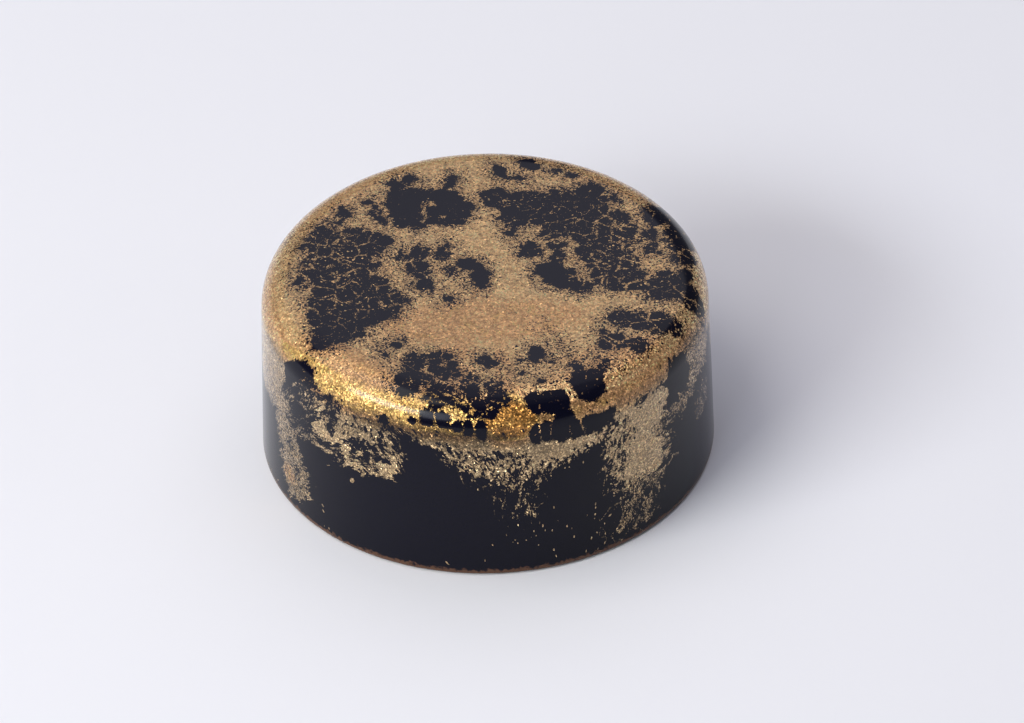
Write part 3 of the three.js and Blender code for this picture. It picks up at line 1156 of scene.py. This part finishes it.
    # Each flake tilts its own way, and the gloss over them stays smooth.
    tilt = make("VectorMath", SUBTRACT, [flakes.outputs["Color"], (0.5, 0.5, 0.5)])
    lean = make("VectorMath", SCALE, {0: tilt, "Scale": gold})
    level = make("NewGeometry", {}, {}).outputs["Normal"]
    leant = make("VectorMath", ADD, [level, lean])
    normal = make("VectorMath", NORMALIZE, [leant])

    finish = {"Base Color": colour, "Metallic": metal, "Roughness": roughness, "Normal": normal}
    gloss = {"Coat Weight": 1.0, "Coat Roughness": GLOSS_ROUGHNESS, "Coat IOR": GLOSS_IOR}
    skin = make("BsdfPrincipled", {}, {**finish, **gloss, "Specular IOR Level": 0.0})
    make("OutputMaterial", {}, [skin])
    return material


def scraped_base():
    """Dark chocolate scraped level across the mould: matt brown, with fine parallel drag marks."""
    material, tree = new_material("scraped_dark_chocolate")
    make = functools.partial(add_node, tree)
    place = make("TexCoord", {}, {}).outputs["Object"]
    stretch = (DRAG_SQUEEZE / MM, 1 / MM, 1 / MM)
    along = make("Mapping", {}, {"Vector": place, "Scale": stretch, "Rotation": (0, 0, DRAG_TURN)})
    pattern = {"Vector": along, "Scale": 1 / DRAG_WIDTH, "Detail": 5.0, "Roughness": 0.6}
    marks = make("TexNoise", {}, pattern)
    colour = {0: marks, 6: linear(SCRAPED_DARK), 7: linear(SCRAPED_PALE)}
    colour = make("Mix", COLOURS, colour).outputs[2]
    bump = make("Bump", {}, {"Height": marks, "Strength": 0.3, "Distance": DRAG_DEPTH * MM})
    matt = {"Base Color": colour, "Roughness": SCRAPED_ROUGHNESS, "Normal": bump}
    finish = make("BsdfPrincipled", {}, matt)
    make("OutputMaterial", {}, [finish])
    return material


def make_bonbon():
    mesh = dress_mesh(bonbon_mesh())
    mesh.materials.append(dusted_shell())
    mesh.materials.append(scraped_base())
    for face in mesh.polygons:
        if face.center.z < 0.01 * MM:
            face.material_index = 1
    piece = bpy.data.objects.new("bonbon_shell", mesh)
    bpy.context.scene.collection.objects.link(piece)
    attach(piece, "root")
    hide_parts("bonbon")


# Floor, light and camera

def make_floor():
    bm = bmesh.new()
    bmesh.ops.create_grid(bm, x_segments=1, y_segments=1, size=FLOOR_REACH)
    mesh = bpy.data.meshes.new("floor")
    bm.to_mesh(mesh)
    bm.free()
    floor = bpy.data.objects.new("floor", mesh)
    bpy.context.scene.collection.objects.link(floor)
    material, tree = new_material("white_card")
    card = {"Base Color": linear(FLOOR_CARD), "Roughness": CARD_ROUGHNESS}
    finish = add_node(tree, "BsdfPrincipled", {}, card)
    add_node(tree, "OutputMaterial", {}, [finish])
    mesh.materials.append(material)


def soft_box(name, azimuth, elevation, distance, width, tall, radiance, colour):
    """A softbox that looks at the bonbon. Its radiance is that of its face, whatever its size."""
    a, e = math.radians(azimuth), math.radians(elevation)
    way = Vector((math.cos(e) * math.sin(a), -math.cos(e) * math.cos(a), math.sin(e)))
    lamp = bpy.data.lights.new(name, "AREA")
    lamp.shape = "RECTANGLE"
    lamp.size = width
    lamp.size_y = tall
    lamp.energy = radiance * math.pi * width * tall
    lamp.color = linear(colour)[:3]
    lit = bpy.data.objects.new(name, lamp)
    lit.location = way * distance + Vector((0, 0, HEIGHT * MM))
    lit.rotation_euler = (-way).to_track_quat("-Z", "Y").to_euler()
    bpy.context.scene.collection.objects.link(lit)


def make_light():
    for name, measures in SOFTBOXES.items():
        soft_box(name, *measures)
    world = bpy.data.worlds.new("studio")
    world.use_nodes = True
    air = world.node_tree.nodes["Background"]
    air.inputs["Color"].default_value = linear(STUDIO_AIR)
    air.inputs["Strength"].default_value = AIR_STRENGTH
    bpy.context.scene.world = world


def make_camera():
    """A long lens from the front, tilted down, with the photograph's slight roll."""
    elevation, roll = math.radians(CAMERA_ELEVATION), math.radians(CAMERA_ROLL)
    back = Vector((0, -math.cos(elevation), math.sin(elevation)))
    level = Vector((1, 0, 0))
    upward = Vector((0, math.sin(elevation), math.cos(elevation)))
    right = level * math.cos(roll) - upward * math.sin(roll)
    up = level * math.sin(roll) + upward * math.cos(roll)
    camera = bpy.data.cameras.new("camera")
    camera.lens = LENS_MM
    camera.sensor_width = SENSOR_MM
    seat = bpy.data.objects.new("camera", camera)
    turn = Matrix((right, up, back)).transposed().to_4x4()
    spot = Vector(CAMERA_TARGET) + back * CAMERA_DISTANCE
    seat.matrix_world = Matrix.Translation(spot * MM) @ turn
    bpy.context.scene.collection.objects.link(seat)
    bpy.context.scene.camera = seat


make_camera()
make_bonbon()
make_floor()
make_light()
bpy.context.scene.view_settings.view_transform = "Standard"
